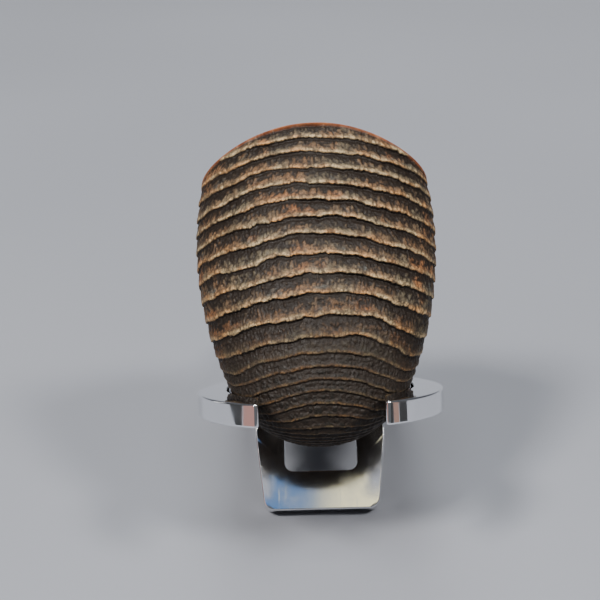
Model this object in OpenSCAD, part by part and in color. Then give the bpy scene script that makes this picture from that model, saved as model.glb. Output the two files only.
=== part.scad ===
// Tobacco pipe resting in a folding chrome pocket stand.
// Millimetres, +Z up, the stand and the mouthpiece stand on z = 0.
// -Y is the open front of the cradle, +Y runs back along the stem.

/* [Cradle plate] */
// Thickness of the plate stock used for the cradle and the leg
plate_t = 3.7; // [3.4:0.1:4]
// Outer diameter of the cradle ring
ring_d = 40; // [39.5:0.1:41]
// Clear width between the two arm tips at the open front
arm_gap = 19.4; // [18:0.1:20.5]
// Radius of the seat opening that the bowl sits in
seat_r = 15.3; // [15.2:0.05:15.5]
// How far the seat opening is drawn out towards the rear
seat_stretch = 2.2; // [2:0.1:2.4]
// Slope of the plate, front edge up, in degrees
plate_slope = 20; // [19.5:0.1:20.5]
// Outer width of the tail frame behind the ring
tail_w = 32.6; // [32:0.1:34]
// Distance from the ring centre to the end of the tail, along the plate
tail_len = 79; // [78.5:0.1:80]
// Width of the end bar of the tail frame
tail_bar = 9.5; // [9:0.1:12]

/* [Prop leg] */
// Distance from the ring centre to the hinge pin, along the plate
hinge_p = 24.3; // [24.2:0.05:24.6]
// Length of the leg from its hinge pin to its foot corner
leg_len = 22.7; // [22.5:0.1:23]
// Angle of the open leg from the table, in degrees
leg_angle = 50; // [49:0.5:51]
// Width of the leg at the hinge
leg_w = 22.8; // [22:0.1:23]
// Width of the leg at the foot
leg_foot_w = 20; // [19:0.1:21]
// Width of the window in the leg
leg_window_w = 12.4; // [12:0.1:13]
// Width of the foot bar below the window
leg_foot_bar = 6.3; // [5.5:0.1:7]
// Diameter of the hinge pin
pin_d = 2; // [1.8:0.05:2.1]

/* [Pipe bowl] */
// Lean of the bowl axis from vertical, in degrees
bowl_lean = 49.5; // [49:0.1:50]
// Radius of the rounded bottom of the bowl
heel_r = 16; // [15.9:0.05:16]
// Largest radius of the bowl
bowl_r = 20.4; // [20.2:0.05:20.4]
// Height of the widest place above the centre of the rounded bottom
widest_h = 20; // [19:0.1:21]
// Height of the middle of the rim above the centre of the rounded bottom
rim_h = 35.6; // [35.2:0.1:35.8]
// Diameter of the tobacco chamber
chamber_d = 19.5; // [19:0.1:20]
// Depth of the tobacco chamber
chamber_depth = 42.1; // [40:0.1:42.2]
// Slope of the shank below horizontal, in degrees
shank_slope = 16; // [15.5:0.1:16.5]
// Radius of the shank where it joins the bowl
shank_r = 7.7; // [7.5:0.05:7.8]
// Radius of the shank at the mortise face
shank_end_r = 7.4; // [7.3:0.05:7.5]
// Length of the shank from the bowl axis to the mortise face
shank_len = 43.6; // [43:0.1:45]

/* [Mouthpiece and filter] */
// Depth of the mortise
mortise_depth = 21.6; // [21.4:0.1:22]
// Diameter of the mortise
mortise_d = 10.5; // [10.4:0.05:10.6]
// Length of the straight part of the mouthpiece
stem_straight = 22; // [21.5:0.1:22]
// Length of the curved part of the mouthpiece
stem_curve = 37; // [36.5:0.1:37]
// Angle that the curved part turns through, in degrees
stem_bend = 13.8; // [13:0.1:13.8]
// Diameter of the smoke filter
filter_d = 8.98; // [8.94:0.01:9]
// Length of the smoke filter
filter_len = 38; // [37.5:0.1:38]

/* [Hidden] */

$fn = 96;
eps = 0.02;
run_gap = 0.05;

// Stand: the hinge height follows from the open leg, the ring height from the hinge
foot_flat = 0.6;
hinge_z = leg_len * sin(leg_angle) + plate_t / 2 * cos(leg_angle);
ring_z = hinge_z + hinge_p * sin(plate_slope) + plate_t / 2 * cos(plate_slope);
tip_p = sqrt(pow(ring_d / 2, 2) - pow(arm_gap / 2, 2));
seat_p = 2.2;
open_turn = 180 - leg_angle - plate_slope - eps;
washer_t = 0.3;
window_w = leg_w + 2 * (washer_t + run_gap);
knuckle_gap = 0.1;
window_front = hinge_p - plate_t / 2 - knuckle_gap;
window_back = tail_len - tail_bar;
corner_r = 4;
rail_from = 8;
stop_gap = 0.08;
pin_inset = 0.1;
washer_r = 1.7;
leg_straight = 10.6;
leg_top_bar = 4;
leg_corner_r = 2;
leg_corner_out = 0.05;
window_corner_r = 1.3;

// Pipe: the heel ball sits over the seat, measured in the plate's own frame
heel_p = 1.86;
heel_q = 5.94;
heel_y = heel_p * cos(plate_slope) + heel_q * sin(plate_slope);
heel_z = ring_z - heel_p * sin(plate_slope) + heel_q * cos(plate_slope);
// Flank arc that touches the heel ball and is widest at widest_h
flank_r = (pow(bowl_r, 2) + pow(widest_h, 2) - pow(heel_r, 2)) / (2 * (bowl_r - heel_r));
flank_x = bowl_r - flank_r;
flank_from = -widest_h * heel_r / (flank_r - heel_r);
// The front and rear faces are flatter than the sides: the same outline, wider by
// face_more, turned about axes that stand face_shift behind and in front of the middle
face_more = 4.1;
face_shift = 9.06;
crown_r = 42;
chamber_r = chamber_d / 2;
chamber_ball_h = rim_h - chamber_depth + chamber_r;
rim_bevel = 1;
shank_h = 1.4;
shank_y = heel_y + shank_h * sin(bowl_lean);
shank_z = heel_z + shank_h * cos(bowl_lean);
face_y = shank_y + shank_len * cos(shank_slope);
face_z = shank_z - shank_len * sin(shank_slope);
mortise_r = mortise_d / 2;
draught_r = 1.9;
draught_end = [0, heel_y + 2.6, heel_z - 6.9];
draught_over = 3;
shank_root = 8;
fine_ball = 180;
fine_flank = 360;

// Mouthpiece: tenon, filter bore, airway and the swept outside
tenon_out = 13;
tenon_in = 8;
tenon_r = mortise_r - 0.02;
filter_r = filter_d / 2;
filter_gap = 0.06;
bore_r = filter_r + filter_gap;
filter_front = -mortise_depth + 0.4;
filter_end_gap = 0.3;
filter_back = filter_front + filter_len;
paper_t = 0.24;
cap_t = 2.5;
cap_holes = 6;
cap_hole_r = 0.6;
cap_hole_ring = 2.4;
airway_r = 1.6;
bit_airway_r = 0.8;
airway_short = 0.5;
slot_deep = 9;
slot_wide = 10;
slot_high = 1.5;
bend_r = stem_curve / (stem_bend * PI / 180);
stem_len = stem_straight + stem_curve;
button_len = 3;
button_step = 0.4;
button_t = 4.6;
button_w = 7.9;
neck_w = 6.4;
neck_at = 24;
bite_w = 7.6;
bite_half_t = 1.8;
knee_half_t = 6;
knee_at = 20;
rings = 36;
sides = 28;

// The whole object is centred on the Y axis between the arm tips and the bit
front_y = -tip_p * cos(plate_slope) - plate_t * sin(plate_slope);
bit_slope = shank_slope + stem_bend;
bit_y = face_y + stem_straight * cos(shank_slope)
        + bend_r * (sin(bit_slope) - sin(shank_slope));
back_y = bit_y + button_t / 2 * sin(bit_slope);
mid_y = (front_y + back_y) / 2;

function ease(a, b, u) = a + (b - a) * (1 - cos(180 * min(max(u, 0), 1))) / 2;

// Half width and half thickness of the mouthpiece at a distance u from its face
function stem_half_w(u) =
    u > stem_len - button_len ? button_w
    : u < neck_at ? ease(shank_end_r, neck_w, u / neck_at)
    : ease(neck_w, bite_w, (u - neck_at) / (stem_len - neck_at - button_len));
function stem_half_t(u) =
    u > stem_len - button_len ? button_t / 2
    : u < knee_at ? ease(shank_end_r, knee_half_t, u / knee_at)
    : ease(knee_half_t, bite_half_t, (u - knee_at) / (stem_len - knee_at - button_len));

// Centre line of the mouthpiece and the turn of its section
function stem_turn(u) = u < stem_straight ? 0 : (u - stem_straight) / stem_curve * stem_bend;
function stem_mid(u) =
    u < stem_straight ? [0, 0, u]
                      : [0, bend_r * (1 - cos(stem_turn(u))),
                         stem_straight + bend_r * sin(stem_turn(u))];
function stem_ring(u) =
    let (c = stem_mid(u), a = stem_turn(u), w = stem_half_w(u), t = stem_half_t(u))
    [for (i = [0 : sides - 1])
        let (f = 360 * i / sides, x = w * cos(f), y = t * sin(f))
        [x, c[1] + y * cos(a), c[2] - y * sin(a)]];
// The last rings stand close together to form the step of the button
stations = concat([for (i = [0 : rings - 3]) i / (rings - 3) * (stem_len - button_len)],
                  [stem_len - button_len + button_step, stem_len]);

module in_stand() {
    translate([0, -mid_y, 0])
        children();
}

// Plate frame: Y runs rearward along the plate, Z is square to its top face
module in_plate() {
    in_stand()
        translate([0, 0, ring_z])
            rotate([-plate_slope, 0, 0])
                children();
}

// Leg frame: X along the pin, Y from the pin to the foot, Z through the thickness
module in_leg() {
    in_plate()
        translate([0, hinge_p, -plate_t / 2])
            rotate([-open_turn, 0, 0])
                children();
}

// Bowl frame: Z along the bowl axis from the centre of the heel ball
module in_bowl() {
    in_stand()
        translate([0, heel_y, heel_z])
            rotate([-bowl_lean, 0, 0])
                children();
}

// Shank frame: Z along the shank axis, outward from the mortise face
module in_shank() {
    in_stand()
        translate([0, face_y, face_z])
            rotate([-90 - shank_slope, 0, 0])
                children();
}

module x_rod(r, half_w) {
    rotate([0, 90, 0])
        cylinder(h = 2 * half_w, r = r, center = true);
}

module bar_2d(x, y0, y1) {
    translate([-x, y0])
        square([2 * x, y1 - y0]);
}

// Rectangle with its two rear corners rounded
module tail_2d(x, y0, y1, r) {
    bar_2d(x, y0, y1 - r);
    bar_2d(x - r, y0, y1);
    for (side = [-1, 1])
        translate([side * (x - r), y1 - r])
            circle(r);
}

module plate_2d() {
    difference() {
        union() {
            circle(ring_d / 2);
            tail_2d(tail_w / 2, rail_from, tail_len, corner_r);
        }
        translate([0, seat_p])
            circle(seat_r);
        translate([0, seat_p + seat_stretch])
            circle(seat_r);
        bar_2d(seat_r, seat_p, seat_p + seat_stretch);
        bar_2d(arm_gap / 2, -ring_d, 0);
        tail_2d(window_w / 2, window_front, window_back, window_corner_r);
    }
}

// Space below the table, cut off wherever a foot would reach through it
module below_table() {
    translate([-100, -150, -60])
        cube([200, 300, 60]);
}

module cradle_plate() {
    color("silver")
        difference() {
            in_plate()
                difference() {
                    translate([0, 0, -plate_t])
                        linear_extrude(height = plate_t)
                            plate_2d();
                    // round clearance for the leg's knuckle
                    translate([0, hinge_p, -plate_t / 2])
                        x_rod(plate_t / 2 + knuckle_gap, window_w / 2);
                    // bevel that the open leg rests against
                    translate([0, hinge_p, -plate_t / 2])
                        rotate([-open_turn, 0, 0])
                            translate([-window_w / 2, 0, -plate_t / 2 - stop_gap])
                                cube([window_w, leg_len, plate_t]);
                    // bores for the hinge pin
                    translate([0, hinge_p, -plate_t / 2])
                        x_rod(pin_d / 2, ring_d);
                }
            below_table();
        }
}

module hinge_pin() {
    color("lightgray")
        in_plate()
            translate([0, hinge_p, -plate_t / 2])
                x_rod(pin_d / 2, tail_w / 2 - pin_inset);
}

module hinge_washers() {
    color("gray")
        in_plate()
            translate([0, hinge_p, -plate_t / 2])
                for (side = [-1, 1])
                    translate([side * (leg_w + window_w) / 4, 0, 0])
                        difference() {
                            x_rod(washer_r, washer_t / 2);
                            x_rod(pin_d / 2 + run_gap, washer_t);
                        }
}

module leg_2d() {
    foot_end = leg_len + foot_flat;
    foot_x = leg_foot_w / 2;
    difference() {
        union() {
            polygon([[-leg_w / 2, 0], [leg_w / 2, 0],
                     [leg_w / 2, leg_straight],
                     [foot_x + 2 * leg_corner_out, foot_end - leg_corner_r],
                     [foot_x - leg_corner_r, foot_end],
                     [leg_corner_r - foot_x, foot_end],
                     [-foot_x - 2 * leg_corner_out, foot_end - leg_corner_r],
                     [-leg_w / 2, leg_straight]]);
            for (side = [-1, 1])
                translate([side * (foot_x - leg_corner_r + leg_corner_out),
                           foot_end - leg_corner_r])
                    circle(leg_corner_r);
        }
        leg_window_2d();
    }
}

// Window with four rounded corners
module leg_window_2d() {
    x = leg_window_w / 2;
    r = window_corner_r;
    y0 = leg_top_bar;
    y1 = leg_len - leg_foot_bar;
    bar_2d(x, y0 + r, y1 - r);
    bar_2d(x - r, y0, y1);
    for (side = [-1, 1], y = [y0 + r, y1 - r])
        translate([side * (x - r), y])
            circle(r);
}

module prop_leg() {
    color("silver")
        difference() {
            in_leg()
                difference() {
                    union() {
                        translate([0, 0, -plate_t / 2])
                            linear_extrude(height = plate_t)
                                leg_2d();
                        x_rod(plate_t / 2, leg_w / 2);
                    }
                    x_rod(pin_d / 2 + run_gap, leg_w);
                }
            below_table();
        }
}

// Half outline of the bowl, made wider all round: heel ball below, barrel flank above
module bowl_2d(more = 0) {
    ball_r = heel_r + more;
    join_h = flank_from * ball_r / heel_r;
    intersection() {
        circle(ball_r, $fn = fine_ball);
        translate([0, -ball_r])
            square([ball_r, ball_r]);
    }
    intersection() {
        translate([flank_x, widest_h])
            circle(flank_r + more, $fn = fine_flank);
        translate([0, join_h])
            square([bowl_r + more + 1, rim_h - join_h]);
    }
}

// Rounded sides, flatter front and rear faces, and a rim that arches from side to side
module bowl_block() {
    intersection() {
        rotate_extrude()
            bowl_2d();
        translate([0, face_shift, 0])
            rotate_extrude()
                bowl_2d(face_more);
        translate([0, -face_shift, 0])
            rotate_extrude()
                bowl_2d(face_more);
        translate([0, 0, rim_h - crown_r])
            rotate([90, 0, 0])
                cylinder(h = 3 * bowl_r, r = crown_r, center = true);
    }
}

module chamber() {
    translate([0, 0, chamber_ball_h])
        sphere(chamber_r);
    translate([0, 0, chamber_ball_h])
        cylinder(h = rim_h, r = chamber_r);
    translate([0, 0, rim_h - rim_bevel])
        cylinder(h = rim_bevel + eps, r1 = chamber_r, r2 = chamber_r + rim_bevel);
}

// Straight hole from the mortise floor down to the floor of the chamber
module draught_hole() {
    start = [0, face_y - mortise_depth * cos(shank_slope),
             face_z + mortise_depth * sin(shank_slope)];
    run = draught_end - start;
    tilt = atan2(norm([run[0], run[1]]), run[2]);
    in_stand()
        translate(start)
            rotate([tilt, 0, 0])
                translate([0, 0, -draught_over])
                    cylinder(h = norm(run) + draught_over, r = draught_r);
}

module pipe_bowl() {
    color("saddlebrown")
        difference() {
            union() {
                in_bowl()
                    bowl_block();
                in_shank()
                    translate([0, 0, shank_root - shank_len])
                        cylinder(h = shank_len - shank_root, r1 = shank_r, r2 = shank_end_r);
            }
            in_bowl()
                chamber();
            in_shank()
                translate([0, 0, -mortise_depth])
                    cylinder(h = mortise_depth + 1, r = mortise_r);
            draught_hole();
        }
}

module stem_body() {
    n = len(stations);
    points = [for (u = stations) each stem_ring(u)];
    faces = concat(
        [[for (i = [0 : sides - 1]) i]],
        [for (k = [0 : n - 2], i = [0 : sides - 1])
            let (j = (i + 1) % sides)
            [k * sides + i, (k + 1) * sides + i, (k + 1) * sides + j, k * sides + j]],
        [[for (i = [0 : sides - 1]) n * sides - 1 - i]]);
    polyhedron(points = points, faces = faces, convexity = 4);
}

module mouthpiece() {
    color("black")
        in_shank()
            difference() {
                stem_body();
                translate([0, 0, -eps])
                    cylinder(h = tenon_in + eps, r = tenon_r);
                cylinder(h = filter_back + filter_end_gap, r = bore_r);
                cylinder(h = stem_straight + eps, r = airway_r);
                translate([0, bend_r, stem_straight])
                    rotate([90, 0, -90])
                        rotate_extrude(angle = stem_bend - airway_short)
                            translate([bend_r, 0])
                                circle(bit_airway_r);
                // draw slot in the bit
                translate(stem_mid(stem_len))
                    rotate([-stem_bend, 0, 0])
                        cube([slot_wide, slot_high, slot_deep], center = true);
            }
}

module tenon() {
    color("whitesmoke")
        in_shank()
            difference() {
                translate([0, 0, -tenon_out])
                    cylinder(h = tenon_out + tenon_in, r = tenon_r);
                translate([0, 0, -tenon_out - 1])
                    cylinder(h = tenon_out + tenon_in + 2, r = bore_r);
            }
}

module filter_tube() {
    color("ivory")
        in_shank()
            translate([0, 0, filter_front])
                difference() {
                    cylinder(h = filter_len, r = filter_r);
                    translate([0, 0, -1])
                        cylinder(h = filter_len + 2, r = filter_r - paper_t);
                }
}

// End cap of the filter with six smoke holes round a centre hole
module filter_cap(at) {
    in_shank()
        translate([0, 0, at])
            difference() {
                cylinder(h = cap_t, r = filter_r - paper_t);
                for (i = [1 : cap_holes])
                    rotate([0, 0, 360 / cap_holes * i])
                        translate([cap_hole_ring, 0, -1])
                            cylinder(h = cap_t + 2, r = cap_hole_r);
                translate([0, 0, -1])
                    cylinder(h = cap_t + 2, r = cap_hole_r);
            }
}

module filter_cap_ceramic() {
    color("linen")
        filter_cap(filter_front);
}

module filter_cap_plastic() {
    color("lightskyblue")
        filter_cap(filter_back - cap_t);
}

module filter_charcoal() {
    color("dimgray")
        in_shank()
            translate([0, 0, filter_front + cap_t])
                cylinder(h = filter_len - 2 * cap_t, r = filter_r - paper_t);
}

cradle_plate();
hinge_pin();
hinge_washers();
prop_leg();
pipe_bowl();
mouthpiece();
tenon();
filter_tube();
filter_cap_ceramic();
filter_cap_plastic();
filter_charcoal();
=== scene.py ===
import math

import bpy
import numpy as np
from mathutils import Matrix, Vector
from mathutils.geometry import delaunay_2d_cdt


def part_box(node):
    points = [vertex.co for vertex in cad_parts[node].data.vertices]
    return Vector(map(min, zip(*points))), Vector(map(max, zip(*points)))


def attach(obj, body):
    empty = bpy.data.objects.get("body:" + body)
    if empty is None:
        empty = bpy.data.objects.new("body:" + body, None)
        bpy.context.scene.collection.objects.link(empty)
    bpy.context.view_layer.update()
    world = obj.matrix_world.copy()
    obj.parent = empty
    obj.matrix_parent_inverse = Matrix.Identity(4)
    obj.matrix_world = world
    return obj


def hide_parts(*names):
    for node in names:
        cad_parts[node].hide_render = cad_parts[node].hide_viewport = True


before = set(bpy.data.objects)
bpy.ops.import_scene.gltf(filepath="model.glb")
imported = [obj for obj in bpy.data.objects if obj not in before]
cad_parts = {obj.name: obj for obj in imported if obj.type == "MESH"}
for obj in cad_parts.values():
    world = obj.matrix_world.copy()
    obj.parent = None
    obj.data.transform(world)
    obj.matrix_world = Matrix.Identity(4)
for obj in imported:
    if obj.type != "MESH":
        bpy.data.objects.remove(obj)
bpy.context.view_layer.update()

MM = 0.001

# ---------------- sizes, in millimetres
# _P is a place along the plate from its ring's centre, and _Q a height above its top.
# _H is a height along the bowl's axis from the centre of its heel ball.
PLATE_T = 3.7
RING_R = 20.0
ARM_GAP = 19.4
SEAT_R = 15.3
SEAT_P = 2.2
SEAT_STRETCH = 2.2
PLATE_SLOPE = 20.0
TAIL_W = 32.6
TAIL_LEN = 79.0
TAIL_BAR = 9.5
TAIL_CORNER_R = 4.0
HINGE_P = 24.3
LEG_LEN = 22.7
LEG_ANGLE = 50.0
LEG_W = 22.8
LEG_FOOT_W = 20.0
LEG_STRAIGHT = 10.6
LEG_CORNER_R = 2.0
LEG_WINDOW_W = 12.4
LEG_TOP_BAR = 4.0
LEG_FOOT_BAR = 6.3
WINDOW_CORNER_R = 1.3
FOOT_FLAT = 0.6
PIN_R = 1.0
RUN_GAP = 0.05
WASHER_T = 0.3
WASHER_R = 1.7
KNUCKLE_GAP = 0.1
STOP_GAP = 0.08
PIN_INSET = 0.1
BOWL_LEAN = 49.5
HEEL_R = 16.0
BOWL_R = 20.4
WIDEST_H = 20.0
RIM_H = 35.6
CHAMBER_R = 9.75
CHAMBER_DEPTH = 42.1
RIM_BEVEL = 1.0
FACE_MORE = 4.1
FACE_SHIFT = 9.06
CROWN_R = 42.0
EDGE_BLEND = 1.3
HEEL_P = 1.86
HEEL_Q = 5.94
SHANK_SLOPE = 16.0
SHANK_H = 1.4
SHANK_R = 7.7
SHANK_END_R = 7.4
SHANK_LEN = 43.6
SHANK_ROOT = 8.0
MORTISE_R = 5.25
MORTISE_DEPTH = 21.6
DRAUGHT_R = 1.9
TENON_R = 5.23
TENON_OUT = 13.0
TENON_IN = 8.0
FILTER_R = 4.49
FILTER_BORE_R = 4.55
FILTER_LEN = 38.0
PAPER_T = 0.24
AIRWAY_R = 1.6
STEM_STRAIGHT = 22.0
STEM_CURVE = 37.0
STEM_BEND = 13.8
BUTTON_LEN = 3.0

STEM_LEN = STEM_STRAIGHT + STEM_CURVE
BEND_R = STEM_CURVE / math.radians(STEM_BEND)
FILTER_FRONT = 0.4 - MORTISE_DEPTH
FILTER_BACK = FILTER_FRONT + FILTER_LEN


def sin_d(angle):
    return math.sin(math.radians(angle))


def cos_d(angle):
    return math.cos(math.radians(angle))


# ---------------- places of the parts
OPEN_TURN = 180 - LEG_ANGLE - PLATE_SLOPE
HINGE_Z = LEG_LEN * sin_d(LEG_ANGLE) + PLATE_T / 2 * cos_d(LEG_ANGLE)
RING_Z = HINGE_Z + HINGE_P * sin_d(PLATE_SLOPE) + PLATE_T / 2 * cos_d(PLATE_SLOPE)
HEEL_Y = HEEL_P * cos_d(PLATE_SLOPE) + HEEL_Q * sin_d(PLATE_SLOPE)
HEEL_Z = RING_Z - HEEL_P * sin_d(PLATE_SLOPE) + HEEL_Q * cos_d(PLATE_SLOPE)
SHANK_Y = HEEL_Y + SHANK_H * sin_d(BOWL_LEAN)
SHANK_Z = HEEL_Z + SHANK_H * cos_d(BOWL_LEAN)
FACE_Y = SHANK_Y + SHANK_LEN * cos_d(SHANK_SLOPE)
FACE_Z = SHANK_Z - SHANK_LEN * sin_d(SHANK_SLOPE)
# The lowest corner of an arm tip is the front of the whole object
TIP_P = math.sqrt(RING_R ** 2 - (ARM_GAP / 2) ** 2)
FRONT_Y = -TIP_P * cos_d(PLATE_SLOPE) - PLATE_T * sin_d(PLATE_SLOPE)
MID_Y = FRONT_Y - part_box("cradle_plate")[0].y / MM


class Frame:
    """A place with its own axes: out() takes its points to the row frame, into() brings them in."""

    def __init__(self, origin, turn_x=0.0, parent=None, axes=None):
        c, s = cos_d(turn_x), sin_d(turn_x)
        self.axes = np.array([[1, 0, 0], [0, c, -s], [0, s, c]]) if axes is None else axes
        self.origin = np.array(origin, float)
        if parent is not None:
            self.origin = parent.axes @ self.origin + parent.origin
            self.axes = parent.axes @ self.axes

    def out(self, points):
        return np.asarray(points) @ self.axes.T + self.origin

    def into(self, points):
        return (np.asarray(points) - self.origin) @ self.axes


STAND = Frame((0, -MID_Y, 0))
PLATE = Frame((0, 0, RING_Z), -PLATE_SLOPE, STAND)
HINGE = Frame((0, HINGE_P, -PLATE_T / 2), 0, PLATE)
LEG = Frame((0, 0, 0), -OPEN_TURN, HINGE)
BOWL = Frame((0, HEEL_Y, HEEL_Z), -BOWL_LEAN, STAND)
SHANK = Frame((0, FACE_Y, FACE_Z), -90 - SHANK_SLOPE, STAND)
# Z along the hinge pin
ALONG_X = np.array([[0, 0, 1], [1, 0, 0], [0, 1, 0]], float)
PIN = Frame((0, 0, 0), 0, HINGE, ALONG_X)


# ---------------- meshes
def link(data, name):
    obj = bpy.data.objects.new(name, data)
    bpy.context.scene.collection.objects.link(obj)
    return obj


def new_mesh(name, points, faces, values=None):
    """An object from points in millimetres and arrays of faces with equal corner counts."""
    points = np.asarray(points, np.float32) * MM
    corners = np.concatenate([f.ravel() for f in faces]).astype(np.int32)
    sizes = np.concatenate([np.full(len(f), f.shape[1]) for f in faces])
    starts = np.concatenate([[0], np.cumsum(sizes)[:-1]]).astype(np.int32)
    mesh = bpy.data.meshes.new(name)
    mesh.vertices.add(len(points))
    mesh.vertices.foreach_set("co", points.ravel())
    mesh.loops.add(len(corners))
    mesh.loops.foreach_set("vertex_index", corners)
    mesh.polygons.add(len(sizes))
    mesh.polygons.foreach_set("loop_start", starts)
    mesh.update(calc_edges=True)
    for key, value in (values or {}).items():
        layer = mesh.attributes.new(key, "FLOAT", "POINT")
        full = np.broadcast_to(np.asarray(value, np.float32), len(points))
        layer.data.foreach_set("value", np.ascontiguousarray(full))
    mesh.shade_smooth()
    return link(mesh, name)


def band_faces(rows, cols, first=0):
    """Quads between rows of points that run once round a tube."""
    r = first + np.arange(rows - 1)[:, None] * cols
    c = np.arange(cols)[None, :]
    n = (c + 1) % cols
    return np.stack([r + c, r + n, r + cols + n, r + cols + c], -1).reshape(-1, 4)


def closed_tube(name, grid, bottom, top, values=None):
    """A closed solid from a grid of rows, with a pole point at either end."""
    rows, cols = grid.shape[:2]
    points = np.vstack([grid.reshape(-1, 3), [bottom, top]])
    c = np.arange(cols)
    n = (c + 1) % cols
    last = (rows - 1) * cols
    low = np.stack([n, c, np.full(cols, rows * cols)], -1)
    high = np.stack([last + c, last + n, np.full(cols, rows * cols + 1)], -1)
    spread = {}
    for key, value in (values or {}).items():
        if np.ndim(value):
            flat = np.asarray(value).reshape(-1)
            value = np.concatenate([flat, [flat[0], flat[-1]]])
        spread[key] = value
    return new_mesh(name, points, [band_faces(rows, cols), low, high], spread)


def ring_grid(outline, cols):
    """Rows of points from (radius, height) pairs turned round Z."""
    outline = np.asarray(outline, float)
    turn = np.arange(cols) * 2 * np.pi / cols
    x = outline[:, :1] * np.cos(turn)
    y = outline[:, :1] * np.sin(turn)
    z = np.repeat(outline[:, 1:], cols, 1)
    return np.stack([x, y, z], -1)


def turned(name, place, outline, cols, values=None):
    """A turned solid: the outline starts and ends near the axis, which its poles close."""
    grid = ring_grid(outline, cols)
    low = place.out([0, 0, outline[0][1]])
    high = place.out([0, 0, outline[-1][1]])
    return closed_tube(name, place.out(grid), low, high, values)


def turned_ring(name, place, outline, cols):
    """A turned ring: the outline is a closed loop, outer side going up."""
    points = place.out(ring_grid(outline, cols)).reshape(-1, 3)
    # One band more than rows, wrapped round to the first row, closes the ring
    faces = band_faces(len(outline) + 1, cols) % len(points)
    return new_mesh(name, points, [faces])


def carve(obj, *steps):
    """Joins or cuts closed solids exactly. A step is ("UNION" or "DIFFERENCE", other solid)."""
    for operation, other in steps:
        cut = obj.modifiers.new("cut", "BOOLEAN")
        cut.operation = operation
        cut.solver = "MANIFOLD"
        cut.object = other
    view = bpy.context.evaluated_depsgraph_get()
    mesh = bpy.data.meshes.new_from_object(obj.evaluated_get(view), depsgraph=view)
    old = obj.data
    obj.modifiers.clear()
    obj.data = mesh
    bpy.data.meshes.remove(old)
    for _, other in steps:
        data = other.data
        bpy.data.objects.remove(other)
        bpy.data.meshes.remove(data)
    return obj


def even_normals(obj, sharp=32):
    """Keeps flat faces flat beside small rounded edges."""
    obj.data.shade_smooth()
    obj.data.set_sharp_from_angle(angle=math.radians(sharp))
    even = obj.modifiers.new("even normals", "WEIGHTED_NORMAL")
    even.keep_sharp = True
    even.weight = 60
    return obj


def box_solid(name, place, low, high):
    (x0, y0, z0), (x1, y1, z1) = low, high
    corners = [(x0, y0), (x1, y0), (x1, y1), (x0, y1)]
    points = [(x, y, z) for z in (z0, z1) for x, y in corners]
    faces = np.array([[0, 3, 2, 1], [4, 5, 6, 7], [0, 1, 5, 4],
                      [1, 2, 6, 5], [2, 3, 7, 6], [3, 0, 4, 7]])
    return new_mesh(name, place.out(points), [faces])


# ---------------- noise
NOISE_SIDE = 64
NOISE_TABLE = np.random.default_rng(41).random([NOISE_SIDE] * 3) * 2 - 1


def noise(points, size, seed):
    """Smooth random values from -1 to 1 that change over about one size."""
    q = points / size + np.array([0.37, 0.71, 0.13]) * (seed * 11.3 + 5)
    cell = np.floor(q).astype(np.int64)
    f = q - cell
    f = f * f * f * (f * (f * 6 - 15) + 10)
    weights = (1 - f, f)
    total = 0.0
    for x, y, z in np.ndindex(2, 2, 2):
        i = (cell + (x, y, z)) % NOISE_SIDE
        value = NOISE_TABLE[tuple(i.T)]
        total = total + value * weights[x][:, 0] * weights[y][:, 1] * weights[z][:, 2]
    return total


def smooth(x):
    x = np.clip(x, 0, 1)
    return x * x * (3 - 2 * x)


# ---------------- sandblasted briar
# The growth rings are shells round a point near the heel, towards the shank
GROWTH = np.array([0, 8, -9])
# Distance of the rim's lip from that point, and where the pitch of the shells changes
RIM_PHI = 49.26
PITCH_STEP = (16.5, 23.5)
PITCH_HEEL = 0.85
PITCH_FLANK = 2.42
BLAST_DEPTH = 0.47
DEPTH_VARIES = 0.38
DEPTH_MAX = 1.3
UNDERCUT = 0.12
SIDE_EASE = 0.5
SIDE_EASE_FROM = 14
SIDE_EASE_OVER = 5
# Wavy edges of the rings: each layer's height on the flank, and its size
WANDER = ((0.26, 8.5), (0.20, 3.2), (0.12, 1.3), (0.09, 0.5))
FAULT = 0.20
FAULT_SIZE = 11.0
COMB_SIZE = 0.62
COMB_DEPTH = 0.24
COMB_LEAST = 0.16
# Each band's comb lies on its own shell: the shells' step against the pitch, and a shift
COMB_PITCH = 0.9
COMB_SHIFT = 7.3
FINE_GRAIN = 0.035
COARSE_GRAIN = 0.05
# Places in a band, from 0 in its groove to 1 where its lip drops to the next groove
GROOVE_TO = 0.78
STEEP_TO = 0.26
UNDERCUT_TO = 0.16
LIP_FROM = 0.70
LIP_WIDTH = 0.22
DROP_FROM = 0.955
# Shares of the groove's gentle and steep slopes
GENTLE_SHARE = 0.46
STEEP_SHARE = 0.54
# The painted shade on the heel is full below LOW_FROM, and gone LOW_OVER above that
LOW_FROM = -8
LOW_OVER = 16

PHI = np.linspace(0, 70, 2801)
STEP_DONE = smooth((PHI - PITCH_STEP[0]) / (PITCH_STEP[1] - PITCH_STEP[0]))
PITCH = PITCH_HEEL + (PITCH_FLANK - PITCH_HEEL) * STEP_DONE
RINGS = np.cumsum(np.gradient(PHI) / PITCH)
# Counted down from the rim, so a band's place grows from its groove to its lip
RINGS = np.interp(RIM_PHI, PHI, RINGS) - RINGS


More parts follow.
